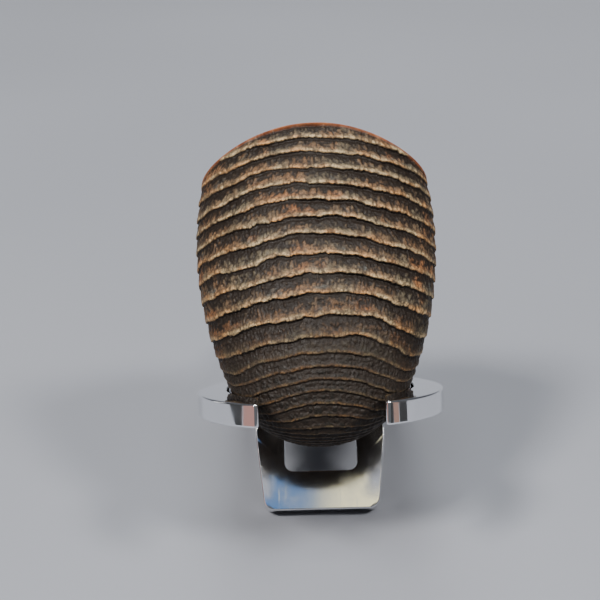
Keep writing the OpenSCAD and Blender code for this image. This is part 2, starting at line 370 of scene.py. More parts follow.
def blast(points, normals, fade):
    """Sandblasted relief at points in the bowl's frame: moved points and surface values."""
    away = points - GROWTH
    phi = np.linalg.norm(away, axis=1)
    away = away / phi[:, None]
    pitch = np.interp(phi, PHI, PITCH)
    wander = sum(share * noise(points, size, seed)
                 for seed, (share, size) in enumerate(WANDER, 1))
    fault = FAULT * np.tanh(5 * noise(points, FAULT_SIZE, 5))
    place = np.interp(phi + (wander + fault) * pitch / PITCH_FLANK, PHI, RINGS)
    band = np.floor(place)
    t = place - band
    ring = RIM_PHI - band * PITCH_FLANK * COMB_PITCH
    across = away * ring[:, None] + band[:, None] * COMB_SHIFT
    comb = 1 - 2 * np.abs(noise(across, COMB_SIZE, 7))
    comb = 0.6 * comb + 0.4 * noise(across, COMB_SIZE / 2, 8)
    groove = 1 - smooth(t / GROOVE_TO)
    groove = GENTLE_SHARE * groove + STEEP_SHARE * (1 - smooth(t / STEEP_TO))
    drop = smooth((t - DROP_FROM) / (1 - DROP_FROM))
    shape = np.maximum(groove, drop)
    varied = 1 + DEPTH_VARIES * noise(points, 5.5, 6)
    reach = BLAST_DEPTH * (pitch / PITCH_FLANK) ** 0.8 * varied
    # The comb starts just above the groove and fades out before the lip
    combed = smooth(t / 0.1) * (1 - smooth((t - 0.5) / 0.35)) + COMB_LEAST
    sideways = smooth((np.abs(points[:, 0]) - SIDE_EASE_FROM) / SIDE_EASE_OVER)
    reach = reach * (1 - SIDE_EASE * sideways)
    depth = (reach * shape + COMB_DEPTH * combed * (1 + comb) / 2
             + FINE_GRAIN * (1 + noise(points, 0.33, 9))
             + COARSE_GRAIN * (1 + noise(points, 1.1, 10)) / 2)
    depth = np.clip(depth, 0, DEPTH_MAX) * fade
    along = away - np.sum(away * normals, 1)[:, None] * normals
    under = UNDERCUT * np.clip(1 - t / UNDERCUT_TO, 0, 1) * fade * (pitch / PITCH_FLANK)
    moved = points - normals * depth[:, None] + along * under[:, None]
    hollow = np.clip(depth / BLAST_DEPTH, 0, 1.2)
    lip = smooth((t - LIP_FROM) / LIP_WIDTH) * (1 - drop) * fade
    # Painted shade: low is 1 on the heel, which faces down away from the lamps, and 0 higher up
    low = 1 - smooth((points[:, 2] - LOW_FROM) / LOW_OVER)
    values = {"hollow": hollow, "lip": lip, "comb": comb * fade, "blasted": fade,
              "inside": 0.0, "low": low, "known": 1.0}
    return moved, values


FLANK_R = (BOWL_R ** 2 + WIDEST_H ** 2 - HEEL_R ** 2) / (2 * (BOWL_R - HEEL_R))
FLANK_X = BOWL_R - FLANK_R
FLANK_FROM = -WIDEST_H * HEEL_R / (FLANK_R - HEEL_R)
RIM_EDGE_R = 0.3
SHANK_EDGE_R = 0.35
MORTISE_BEVEL = 0.4
# Roughness of the burnt chamber wall
CHAR = 0.05
# Reach of the rounded joint of bowl and shank, and the most that either swells towards it
BLEND = 4.5
BOWL_SWELL = 2.5
SHANK_SWELL = 4.0


def outline_radius(s, more=0.0):
    """Radius of the bowl's outline at height s, made wider all round."""
    ball = HEEL_R + more
    heel = np.sqrt(np.clip(ball ** 2 - s * s, 0, None))
    flank = FLANK_X + np.sqrt(np.clip((FLANK_R + more) ** 2 - (s - WIDEST_H) ** 2, 0, None))
    return np.where(s < FLANK_FROM * ball / HEEL_R, heel, flank)


def bowl_radius(s, turn):
    """Distance of the bowl's surface from its axis, at height s and an angle from +Y."""
    side = outline_radius(s)
    across = FACE_SHIFT * np.sin(turn)
    wide = outline_radius(s, FACE_MORE)
    face = (np.sqrt(np.clip(wide ** 2 - across ** 2, 0, None))
            - FACE_SHIFT * np.abs(np.cos(turn)))
    h = np.clip(EDGE_BLEND - np.abs(side - face), 0, None) / EDGE_BLEND
    return np.maximum(np.minimum(side, face) - h * h * EDGE_BLEND / 4, 0)


def crown_height(x):
    """Height of the arched rim."""
    return RIM_H - CROWN_R + np.sqrt(np.clip(CROWN_R ** 2 - x * x, 0, None))


def outline_distance(out, s, more):
    """Signed distance from the widened outline, at a distance from its axis and height s."""
    ball_r = HEEL_R + more
    ball = np.hypot(out, s) - ball_r
    flank = np.hypot(out - FLANK_X, s - WIDEST_H) - FLANK_R - more
    return np.where(s < FLANK_FROM * ball_r / HEEL_R, ball, flank)


def bowl_distance(points):
    """Signed distance from the plain bowl surface, for points in the bowl's frame."""
    x, y, s = points[:, 0], points[:, 1], points[:, 2]
    side = outline_distance(np.hypot(x, y), s, 0)
    face = outline_distance(np.hypot(x, np.abs(y) + FACE_SHIFT), s, FACE_MORE)
    return np.maximum(side, face)


def shank_radius(z):
    """Radius of the shank at z, which is 0 on its end face and negative towards the bowl."""
    part = np.clip((z + SHANK_LEN - SHANK_ROOT) / (SHANK_LEN - SHANK_ROOT), 0, 1)
    return SHANK_R + (SHANK_END_R - SHANK_R) * part


def shank_distance(points):
    """Signed distance from the plain shank, for points in the bowl's frame."""
    p = SHANK.into(BOWL.out(points))
    side = np.hypot(p[:, 0], p[:, 1]) - shank_radius(p[:, 2])
    return np.maximum(side, SHANK_ROOT - SHANK_LEN - p[:, 2])


def blended(points):
    """Distance from bowl and shank with a rounded joint between them."""
    a, b = bowl_distance(points), shank_distance(points)
    h = np.clip(BLEND - np.abs(a - b), 0, None) / BLEND
    return np.minimum(a, b) - h * h * BLEND / 4


def swell(points, normals, limit, share):
    """Moves points along their normals to the blended surface, by at most the limit."""
    grown = np.zeros(len(points))
    for _ in range(14):
        grown = np.clip(grown - 0.8 * blended(points + normals * grown[:, None]), 0, limit)
    return points + normals * (grown * share)[:, None]


def grid_normals(grid):
    """Outward normals of a grid of rows that run once round a tube."""
    round_way = np.roll(grid, -1, 1) - np.roll(grid, 1, 1)
    up_way = np.gradient(grid, axis=0)
    n = np.cross(round_way, up_way)
    return n / np.maximum(np.linalg.norm(n, axis=2, keepdims=True), 1e-12)


def bowl_rows(fine, turn):
    """Rows of the plain bowl: radii, heights, the rim's height all round and its first row."""
    edge = RIM_EDGE_R
    # The rim's height and the bowl's radius under it depend on each other
    top = np.full(len(turn), RIM_H)
    for _ in range(12):
        top = crown_height(bowl_radius(top - edge, turn) * np.sin(turn))
    heel_turn = math.acos(-FLANK_FROM / HEEL_R)
    heel = -HEEL_R * np.cos(np.linspace(0, heel_turn, int(HEEL_R * heel_turn / fine)))[1:]
    flank_rows = int((RIM_H - FLANK_FROM) / fine)
    share = np.linspace(0, 1, flank_rows)[1:, None]
    rows = [np.full(len(turn), s) for s in heel]
    rows += list(FLANK_FROM + (top - edge - FLANK_FROM) * share)
    heights = np.array(rows)
    radii = bowl_radius(heights, turn)
    last = radii[-1]
    for a in np.linspace(0, 90, 6)[1:]:
        radii = np.vstack([radii, last - edge * (1 - cos_d(a))])
        heights = np.vstack([heights, top - edge + edge * sin_d(a)])
    rim_row = len(radii) - 1
    inner = CHAMBER_R + 0.4
    for u in np.linspace(0, 1, int(4 / fine))[1:]:
        ring = (last - edge) * (1 - u) + inner * u
        radii = np.vstack([radii, ring])
        heights = np.vstack([heights, crown_height(ring * np.sin(turn))])
    return radii, heights, top, rim_row


def bowl_solid():
    fine = 0.125
    cols = 1000
    turn = np.arange(cols) * 2 * math.pi / cols
    radii, heights, top, rim_row = bowl_rows(fine, turn)
    grid = np.stack([radii * np.sin(turn), radii * np.cos(turn), heights], -1)[:, ::-1]
    normals = grid_normals(grid).reshape(-1, 3)
    points = grid.reshape(-1, 3)
    below = (top[::-1] - grid[..., 2]).reshape(-1)
    to_shank = shank_distance(points)
    share = np.where(to_shank < BLEND + 1, smooth((to_shank + 1.2) / 1.2), 0)
    points = swell(points, normals, BOWL_SWELL, share)
    row = np.repeat(np.arange(len(radii)), cols)
    fade = np.where(row >= rim_row, 0, smooth((below - 0.1) / 0.5))
    moved, values = blast(points, normals, fade)
    moved = np.where((row >= rim_row)[:, None], points, moved)
    bottom = moved[:cols].mean(0)
    grid = BOWL.out(moved).reshape(len(radii), cols, 3)
    middle = BOWL.out([0, 0, RIM_H])
    return closed_tube("briar", grid, BOWL.out(bottom), middle, values)


def shank_solid():
    fine = 0.13
    cols = 370
    # The shank's solid starts inside the bowl
    start = -SHANK_LEN + 9
    edge = SHANK_EDGE_R
    rows = np.linspace(start, -edge, int((-start - edge) / fine))
    outline = list(zip(shank_radius(rows), rows))
    end_r = float(shank_radius(np.array(-edge)))
    for a in np.linspace(0, 90, 5)[1:]:
        outline.append((end_r - edge * (1 - cos_d(a)), -edge + edge * sin_d(a)))
    grid = ring_grid(outline, cols)
    normals = grid_normals(grid)
    flat = normals.reshape(-1, 3) @ SHANK.axes.T @ BOWL.axes
    points = BOWL.into(SHANK.out(grid.reshape(-1, 3)))
    share = smooth((bowl_distance(points) + 1.5) / 1.5)
    points = swell(points, flat, SHANK_SWELL, share)
    lifted = points.reshape(grid.shape)
    flat = grid_normals(lifted).reshape(-1, 3)
    z = grid.reshape(-1, 3)[:, 2]
    fade = smooth((-z - 2.2) / 0.8)
    moved, values = blast(points, flat, fade)
    grid = BOWL.out(moved).reshape(grid.shape)
    return closed_tube("shank", grid, SHANK.out([0, 0, start]), SHANK.out([0, 0, 0]), values)


def chamber_solid():
    cols = 200
    ball = RIM_H - CHAMBER_DEPTH + CHAMBER_R
    outline = [(CHAMBER_R * sin_d(a), ball - CHAMBER_R * cos_d(a)) for a in range(3, 91, 3)]
    outline += [(CHAMBER_R, z) for z in np.linspace(ball, RIM_H - RIM_BEVEL, 70)[1:]]
    outline += [(CHAMBER_R + RIM_BEVEL * u ** 1.3, RIM_H - RIM_BEVEL * (1 - u))
                for u in (0.15, 0.35, 0.6, 0.8, 1.0)]
    outline += [(CHAMBER_R + RIM_BEVEL + 1.4, RIM_H + 1)]
    grid = ring_grid(outline, cols)
    p = grid.reshape(-1, 3)
    rough = CHAR * noise(p, 0.9, 21) + CHAR * noise(p * (1, 1, 0.2), 0.5, 22)
    rough = rough * smooth((RIM_H - 0.8 - p[:, 2]) / 1.5)
    out = p * (1, 1, 0)
    out = out / np.maximum(np.linalg.norm(out, axis=1, keepdims=True), 1e-9)
    grid = BOWL.out(p - out * np.abs(rough)[:, None]).reshape(grid.shape)
    inside = smooth((RIM_H - RIM_BEVEL * 0.9 - p[:, 2]) / 1.2)
    return closed_tube("chamber", grid, BOWL.out([0, 0, outline[0][1]]),
                       BOWL.out([0, 0, RIM_H + 1]), cut_values(inside))


# Values that the briar's material reads at each point
SURFACE = ("hollow", "lip", "comb", "blasted", "inside", "low")


def cut_values(inside):
    """Surface values for the walls that a cutting solid leaves behind."""
    return {**dict.fromkeys(SURFACE, 0.0), "inside": inside, "known": 1.0}


# From the heel's centre to the draught hole's mouth in the chamber
DRAUGHT_END = (2.6, -6.9)


def draught_solid():
    start = np.array([0, FACE_Y - MORTISE_DEPTH * cos_d(SHANK_SLOPE),
                      FACE_Z + MORTISE_DEPTH * sin_d(SHANK_SLOPE)])
    run = np.array([0, HEEL_Y + DRAUGHT_END[0], HEEL_Z + DRAUGHT_END[1]]) - start
    length = float(np.linalg.norm(run))
    lean = math.degrees(math.atan2(-run[1], run[2]))
    place = Frame(start, lean, STAND)
    outline = [(DRAUGHT_R, z) for z in np.linspace(-1, length, 12)]
    return turned("draught", place, outline, 40, cut_values(1.0))


def mend_values(obj):
    """Gives the new points along a cut the mean of their neighbours' values."""
    mesh = obj.data
    count = len(mesh.vertices)
    ends = np.zeros(len(mesh.edges) * 2, np.int32)
    mesh.edges.foreach_get("vertices", ends)
    a, b = ends.reshape(-1, 2).T

    def read(key):
        value = np.zeros(count, np.float32)
        mesh.attributes[key].data.foreach_get("value", value)
        return value

    def neighbours(value):
        return np.bincount(a, value[b], count) + np.bincount(b, value[a], count)

    known = (read("known") > 0.99).astype(float)
    weight = neighbours(known)
    lost = (known < 0.5) & (weight > 0)
    for key in SURFACE:
        value = read(key)
        total = neighbours(value * known)
        value[lost] = (total[lost] / weight[lost]).astype(np.float32)
        mesh.attributes[key].data.foreach_set("value", value)


def make_briar():
    briar = bowl_solid()
    mortise = turned("mortise", SHANK,
                     [(MORTISE_R, -MORTISE_DEPTH), (MORTISE_R, -MORTISE_BEVEL),
                      (MORTISE_R + MORTISE_BEVEL, 0), (MORTISE_R + MORTISE_BEVEL + 1, 1)],
                     96, cut_values(0.85))
    carve(briar, ("UNION", shank_solid()), ("DIFFERENCE", chamber_solid()),
          ("DIFFERENCE", mortise), ("DIFFERENCE", draught_solid()))
    mend_values(briar)
    briar.data.shade_smooth()
    briar.data.set_sharp_from_angle(angle=math.radians(70))
    return briar


# ---------------- chrome plates
POINTS_PER_MM = 2.4


def arc(centre_y, radius, start, end):
    """Points along an arc round a place on the Y axis, between two angles from +X."""
    count = max(2, int(abs(end - start) * math.pi / 180 * radius * POINTS_PER_MM))
    return [(radius * cos_d(a), centre_y + radius * sin_d(a))
            for a in np.linspace(start, end, count)]


def round_corners(path, radii):
    """Rounds a closed path's corners. radii gives a radius for the places (index) to round."""
    path = np.array(path, float)
    steps = np.linalg.norm(np.roll(path, -1, 0) - path, axis=1)
    at = np.concatenate([[0], np.cumsum(steps)])
    whole = at[-1]
    ring = np.vstack([path, path[:1]])

    def walk(d):
        d = d % whole
        return np.array([np.interp(d, at, ring[:, 0]), np.interp(d, at, ring[:, 1])])

    cuts = []
    for i, radius in radii.items():
        # The path's directions just before and just after the corner
        before = path[i] - walk(at[i] - 0.3)
        after = walk(at[i] + 0.3) - path[i]
        turn = math.acos(np.clip(before @ after / np.linalg.norm(before)
                                 / np.linalg.norm(after), -1, 1))
        cuts.append((at[i], radius * math.tan(turn / 2), path[i], turn))
    out = []
    for i, point in enumerate(path):
        if all(abs(at[i] - c) >= d + 0.02 for c, d, _, _ in cuts):
            out.append((at[i], point))
    for c, d, corner, turn in cuts:
        a, b = walk(c - d), walk(c + d)
        middle = corner + ((a + b) / 2 - corner) / math.sin(turn / 2) ** 2
        for u in np.linspace(0, 1, 9):
            spoke = (math.sin((1 - u) * turn) * (a - middle) + math.sin(u * turn) * (b - middle))
            out.append((c - d + 2 * d * u, middle + spoke / math.sin(turn)))
    out.sort(key=lambda item: item[0])
    return np.array([point for _, point in out])


def inset(loop, amount):
    """Moves a closed loop towards its left side, where the material is."""
    before = loop - np.roll(loop, 1, 0)
    after = np.roll(loop, -1, 0) - loop
    a = before / np.linalg.norm(before, axis=1)[:, None]
    b = after / np.linalg.norm(after, axis=1)[:, None]
    left = np.stack([-(a + b)[:, 1], (a + b)[:, 0]], -1)
    left = left / np.linalg.norm(left, axis=1)[:, None]
    half = np.clip(np.sum(left * np.stack([-a[:, 1], a[:, 0]], -1), 1), 0.3, 1)
    return loop + left * (amount / half)[:, None]


def fill(flat, counts):
    """Triangles between closed loops: the first loop is the outside, the others are holes."""
    edges, first = [], 0
    for count in counts:
        edges += [(first + i, first + (i + 1) % count) for i in range(count)]
        first += count
    made, _, tris, source, _, _ = delaunay_2d_cdt([Vector(p) for p in flat], edges, [], 0, 1e-7)
    ids = np.array([min(found) for found in source])
    middles = np.array([np.mean([made[i] for i in tri], 0) for tri in tris])
    inside = np.zeros(len(tris), int)
    first = 0
    for count in counts:
        loop = flat[first:first + count]
        after = np.roll(loop, -1, 0)
        for (x0, y0), (x1, y1) in zip(loop, after):
            spans = (y0 > middles[:, 1]) != (y1 > middles[:, 1])
            with np.errstate(divide="ignore", invalid="ignore"):
                cross_x = x0 + (middles[:, 1] - y0) * (x1 - x0) / (y1 - y0)
            inside += spans & (middles[:, 0] < cross_x)
        first += count
    tris = ids[np.array([tuple(t) for t in tris])][inside % 2 == 1]
    p, q, r = flat[tris[:, 0]], flat[tris[:, 1]], flat[tris[:, 2]]
    area = (q - p)[:, 0] * (r - p)[:, 1] - (q - p)[:, 1] * (r - p)[:, 0]
    return np.where((area < 0)[:, None], tris[:, ::-1], tris)


def plate_solid(name, place, loops, low, high, round_r):
    """A plate with rounded edges. Outer loop counter-clockwise, holes clockwise."""
    turns = range(0, 91, 18)
    levels = [(round_r * (1 - sin_d(a)), low + round_r * (1 - cos_d(a))) for a in turns]
    levels += [(amount, low + high - z) for amount, z in levels[::-1]]
    points, faces, caps, first = [], [], [], 0
    for loop in loops:
        for amount, z in levels:
            ring = inset(loop, amount)
            points.append(np.column_stack([ring, np.full(len(ring), z)]))
        faces.append(band_faces(len(levels), len(loop), first))
        caps.append((inset(loop, round_r), first, first + (len(levels) - 1) * len(loop)))
        first += len(levels) * len(loop)
    flat = np.concatenate([ring for ring, _, _ in caps])
    low_ids = np.concatenate([a + np.arange(len(ring)) for ring, a, _ in caps])
    high_ids = np.concatenate([b + np.arange(len(ring)) for ring, _, b in caps])
    tris = fill(flat, [len(ring) for ring, _, _ in caps])
    faces += [high_ids[tris], low_ids[tris[:, ::-1]]]
    return new_mesh(name, place.out(np.concatenate(points)), faces)


def mirrored(half):
    return half + [(-x, y) for x, y in half[::-1]]


def window(x, near, far, near_r, far_r):
    """A hole with rounded corners, from -x to x and from its near side to its far side."""
    path = [(0, near), (-x, near), (-x, far), (x, far), (x, near)]
    return round_corners(path, {1: near_r, 2: far_r, 3: far_r, 4: near_r})


def bevelled(radius, half, bevel):
    """Outline of a short bar with bevelled ends."""
    return [(radius - bevel, -half), (radius, bevel - half),
            (radius, half - bevel), (radius - bevel, half)]


# Inner sides of the rails
RAIL_X = LEG_W / 2 + WASHER_T + RUN_GAP
EDGE_R = 0.32
TIP_CORNER_R = 0.5
HINGE_CORNER_R = 0.4
LEG_TOP_CORNER_R = 0.5
LEG_SHOULDER_R = 6.0
# Half the length of a bore's cutter, well past both sides
BORE_REACH = 30


def cradle_loops():
    tail_x = TAIL_W / 2
    join = math.degrees(math.acos(tail_x / RING_R))
    tip = math.degrees(math.acos(ARM_GAP / 2 / RING_R))
    seat_tip = math.degrees(math.acos(ARM_GAP / 2 / SEAT_R))
    rear = [(tail_x, TAIL_LEN / 2), (tail_x, TAIL_LEN)]
    path = mirrored(rear) + arc(0, RING_R, 180 - join, 180 + tip)
    left_outer = len(path) - 1
    path += arc(SEAT_P, SEAT_R, 180 + seat_tip, 180)
    left_inner = left_outer + 1
    path += arc(SEAT_P + SEAT_STRETCH, SEAT_R, 180, 0)
    path += arc(SEAT_P, SEAT_R, 0, -seat_tip)
    right_inner = len(path) - 1
    path += arc(0, RING_R, -tip, join)
    radii = {1: TAIL_CORNER_R, 2: TAIL_CORNER_R, left_outer: TIP_CORNER_R,
             left_inner: TIP_CORNER_R, right_inner: TIP_CORNER_R,
             right_inner + 1: TIP_CORNER_R}
    front = HINGE_P - PLATE_T / 2 - KNUCKLE_GAP
    back = TAIL_LEN - TAIL_BAR
    return [round_corners(path, radii),
            window(RAIL_X, front, back, HINGE_CORNER_R, WINDOW_CORNER_R)]


def below_table():
    """A block under the table's top, which cuts the feet level."""
    return box_solid("below", Frame((0, 0, 0)), (-100, -150, -60), (100, 150, 0))


def make_cradle():
    cradle = plate_solid("cradle", PLATE, cradle_loops(), -PLATE_T, 0, EDGE_R)
    bevel = box_solid("bevel", LEG, (-RAIL_X, 0, -PLATE_T / 2 - STOP_GAP),
                      (RAIL_X, LEG_LEN, PLATE_T / 2))
    bore = turned("bore", PIN, [(PIN_R, -BORE_REACH), (PIN_R, BORE_REACH)], 72)
    carve(cradle, ("DIFFERENCE", bevel), ("DIFFERENCE", bore), ("DIFFERENCE", below_table()))
    return even_normals(cradle)


def make_leg():
    side = [(LEG_W / 2, 0), (LEG_W / 2, LEG_STRAIGHT), (LEG_FOOT_W / 2, LEG_LEN + FOOT_FLAT)]
    outer = [(0, 0)] + mirrored(side)
    rounding = {1: LEG_TOP_CORNER_R, 2: LEG_SHOULDER_R, 3: LEG_CORNER_R,
                4: LEG_CORNER_R, 5: LEG_SHOULDER_R, 6: LEG_TOP_CORNER_R}
    loops = [round_corners(outer, rounding),
             window(LEG_WINDOW_W / 2, LEG_TOP_BAR, LEG_LEN - LEG_FOOT_BAR,
                    WINDOW_CORNER_R, WINDOW_CORNER_R)]
    leg = plate_solid("leg", LEG, loops, -PLATE_T / 2, PLATE_T / 2, EDGE_R)
    r, half, e = PLATE_T / 2, LEG_W / 2, 0.25
    knuckle = turned("knuckle", PIN, [(r - e, -half), (r - 0.07, e * 0.3 - half), (r, e - half),
                                      (r, half - e), (r - 0.07, half - e * 0.3),
                                      (r - e, half)], 96)
    bore_r = PIN_R + RUN_GAP
    bore = turned("bore", PIN, [(bore_r, -BORE_REACH), (bore_r, BORE_REACH)], 72)
    carve(leg, ("UNION", knuckle), ("DIFFERENCE", bore), ("DIFFERENCE", below_table()))
    return even_normals(leg)


def make_pin():
    outline = bevelled(PIN_R, TAIL_W / 2 - PIN_INSET, 0.15)
    return even_normals(turned("pin", PIN, outline, 72), 50)


def make_washers():
    parts = []
    gap = (LEG_W + WASHER_T + RUN_GAP) / 2
    for side in (-1, 1):
        place = Frame((0, 0, side * gap), 0, PIN)
        h = WASHER_T / 2
        outline = bevelled(WASHER_R, h, 0.05)
        outline += [(PIN_R + RUN_GAP, h), (PIN_R + RUN_GAP, -h)]
        parts.append(turned_ring("washer", place, outline, 48))
    first, second = parts
    carve(first, ("UNION", second))
    return even_normals(first, 40)


# ---------------- mouthpiece and filter
# Half widths and half thicknesses of the mouthpiece: waist, bit and button
WAIST_W = 6.4
WAIST_W_AT = 24
BIT_W = 7.6
BUTTON_W = 7.9
WAIST_T = 6.0
WAIST_T_AT = 20
BIT_T = 1.8
BUTTON_T = 2.3
BUTTON_RISE = 0.7
STEM_EDGE_R = 0.45
FACE_EDGE_R = 0.25
# Half width, half height and place from the end, for sections of the draw slot
SLOT = ((4.6, 0.6, -4.5), (4.8, 0.65, -1.2), (5.4, 0.95, 0.3))


def ease(a, b, u):
    """A soft step from a to b as u goes from 0 to 1."""
    return a + (b - a) * (1 - math.cos(math.pi * min(max(u, 0), 1))) / 2


def waisted(u, neck, waist, waist_at, bit):
    """Half a size of the mouthpiece: down to its waist, then on to the bit."""
    if u < waist_at:
        return ease(SHANK_END_R, waist, u / waist_at)
    return ease(waist, bit, (u - waist_at) / (neck - waist_at))


def stem_section(u):
    """Half width and half thickness of the mouthpiece at a distance from its face."""
    neck = STEM_LEN - BUTTON_LEN
    wide = waisted(u, neck, WAIST_W, WAIST_W_AT, BIT_W)
    thick = waisted(u, neck, WAIST_T, WAIST_T_AT, BIT_T)
    step = ease(0, 1, (u - neck) / BUTTON_RISE)
    return wide + (BUTTON_W - wide) * step, thick + (BUTTON_T - thick) * step


def stem_middle(u):
    """Middle of the mouthpiece at a distance from its face, and how far it has bent."""
    turn = max(u - STEM_STRAIGHT, 0) / STEM_CURVE * STEM_BEND
    middle = (0, BEND_R * (1 - cos_d(turn)), min(u, STEM_STRAIGHT) + BEND_R * sin_d(turn))
    return np.array(middle), turn


def make_mouthpiece():
    cols = 144
    turn = np.arange(cols) * 2 * np.pi / cols
    edge, face = STEM_EDGE_R, FACE_EDGE_R
    # Distance from the face, and how much less than its full size the section is there
    marks = [(e, face - math.sqrt(max(0, face ** 2 - (face - e) ** 2)))
             for e in (0, 0.03, 0.08, 0.15, face)]
    marks += [(u, 0) for u in np.linspace(face, STEM_LEN - BUTTON_LEN, 150)[1:]]
    marks += [(u, 0) for u in np.linspace(STEM_LEN - BUTTON_LEN, STEM_LEN - edge, 14)[1:]]
    marks += [(STEM_LEN - edge + edge * sin_d(a), edge * (1 - cos_d(a)))
              for a in (18, 36, 54, 72, 90)]
    rows = []
    for u, less in marks:
        middle, bend = stem_middle(u)
        wide, thick = stem_section(min(u, STEM_LEN - edge))
        x = (wide - less) * np.cos(turn)
        y = (thick - less) * np.sin(turn)
        rows.append(np.stack([x, middle[1] + y * cos_d(bend), middle[2] - y * sin_d(bend)], -1))
    grid = SHANK.out(np.array(rows))
    stem = closed_tube("stem", grid, SHANK.out([0, 0, 0]),
                       SHANK.out(stem_middle(STEM_LEN)[0]))
    bore = turned("bore", SHANK, [(TENON_R, -1), (TENON_R, TENON_IN),
                                  (FILTER_BORE_R, TENON_IN + 0.01),
                                  (FILTER_BORE_R, FILTER_BACK + 0.3),
                                  (AIRWAY_R, FILTER_BACK + 1.4), (AIRWAY_R, STEM_STRAIGHT)], 96)
    end, bend = stem_middle(STEM_LEN)
    bit = Frame(end, -bend, SHANK)
    slot = [(wide * math.copysign(abs(math.cos(a)) ** 0.5, math.cos(a)), high * math.sin(a), z)
            for wide, high, z in SLOT for a in turn[::3]]
    slot = np.array(slot).reshape(len(SLOT), -1, 3)
    cutter = closed_tube("slot", bit.out(slot), bit.out([0, 0, SLOT[0][2]]),
                         bit.out([0, 0, SLOT[-1][2]]))
    carve(stem, ("DIFFERENCE", bore), ("DIFFERENCE", cutter))
    return even_normals(stem, 35)


def make_tenon():
    e = 0.5
    outline = [(TENON_R - e, -TENON_OUT), (TENON_R - 0.12, 0.2 - TENON_OUT),
               (TENON_R, e - TENON_OUT), (TENON_R, TENON_IN),
               (FILTER_BORE_R, TENON_IN), (FILTER_BORE_R, 0.3 - TENON_OUT),
               (FILTER_BORE_R + 0.25, -TENON_OUT)]
    return even_normals(turned_ring("tenon_body", SHANK, outline, 96), 35)


def make_filter_tube():
    outline = [(FILTER_R - 0.06, FILTER_FRONT)]
    outline += [(FILTER_R, z) for z in np.linspace(FILTER_FRONT + 0.06, FILTER_BACK - 0.06, 60)]
    outline += [(FILTER_R - 0.06, FILTER_BACK), (FILTER_R - PAPER_T, FILTER_BACK),
                (FILTER_R - PAPER_T, FILTER_FRONT)]
    return even_normals(turned_ring("paper", SHANK, outline, 96), 40)


# ---------------- materials
class Shader:
    """Short names for building one material's nodes."""

    def __init__(self, name, **settings):
        self.material = bpy.data.materials.new(name)
        self.material.use_nodes = True
        self.tree = self.material.node_tree
        self.surface = self.tree.nodes["Principled BSDF"]
        self.set(**settings)

    def set(self, **settings):
        for key, value in settings.items():
            self.give(self.surface.inputs[key.replace("_", " ")], value)

    def give(self, socket, value):
        if isinstance(value, bpy.types.NodeSocket):
            self.tree.links.new(value, socket)
        elif isinstance(value, tuple) and len(value) == 3 and socket.type == "RGBA":
            socket.default_value = (*value, 1)
        else:
            socket.default_value = value

    def node(self, kind, **inputs):
        made = self.tree.nodes.new(kind)
        for key, value in inputs.items():
            self.give(made.inputs[key.replace("_", " ")], value)
        return made

    def where(self, stretch=(1, 1, 1)):
        place = self.tree.nodes.new("ShaderNodeTexCoord").outputs["Object"]
        return self.node("ShaderNodeMapping", Vector=place, Scale=stretch).outputs[0]

    def value(self, name):
        made = self.tree.nodes.new("ShaderNodeAttribute")
        made.attribute_name = name
        return made.outputs["Fac"]

    def noise(self, size, detail=3.0, stretch=(1, 1, 1), rough=0.55):
        """Noise whose patches are about size metres across."""
        return self.node("ShaderNodeTexNoise", Vector=self.where(stretch), Scale=1 / size,
                         Detail=detail, Roughness=rough).outputs["Fac"]

    def ramp(self, value, low, high, a=0.0, b=1.0):
        made = self.node("ShaderNodeMapRange", Value=value)
        made.interpolation_type = "SMOOTHSTEP"
        for i, v in enumerate((low, high, a, b), 1):
            made.inputs[i].default_value = v
        return made.outputs[0]

    def math(self, operation, a, b):
        made = self.tree.nodes.new("ShaderNodeMath")
        made.operation = operation
        self.give(made.inputs[0], a)
        self.give(made.inputs[1], b)
        return made.outputs[0]

    def mix(self, factor, a, b, kind="MIX"):
        made = self.tree.nodes.new("ShaderNodeMix")
        made.data_type = "RGBA"
        made.blend_type = kind
        self.give(made.inputs[0], factor)
        self.give(made.inputs[6], a)
        self.give(made.inputs[7], b)
        return made.outputs[2]

    def bump(self, height, distance, strength=1.0):
        normal = self.node("ShaderNodeBump", Height=height, Distance=distance,
                           Strength=strength).outputs[0]
        self.set(Normal=normal)


OLIVE = (0.088, 0.070, 0.044)
UMBER = (0.110, 0.060, 0.030)
ASH = (0.052, 0.052, 0.046)
RUST = (0.27, 0.100, 0.032)
# Painted highlight colours for the lips
LIP_HIGHLIGHT_CREAM = (0.40, 0.29, 0.155)
LIP_HIGHLIGHT_TAN = (0.44, 0.225, 0.085)
# Painted shade colour for the heel
HEEL_PAINTED_SHADE = (0.004, 0.003, 0.0022)
COMB_DARK = (0.02, 0.013, 0.009)
# Partly dark stain and partly painted shade in the grooves
GROOVE_STAIN_AND_SHADE = (0.010, 0.0065, 0.0045)
RIM_RED = (0.20, 0.055, 0.020)
RIM_BROWN = (0.11, 0.028, 0.012)
RIM_LIGHT = (0.28, 0.10, 0.04)
SOOT = (0.018, 0.013, 0.010)
SOOT_BROWN = (0.045, 0.028, 0.018)


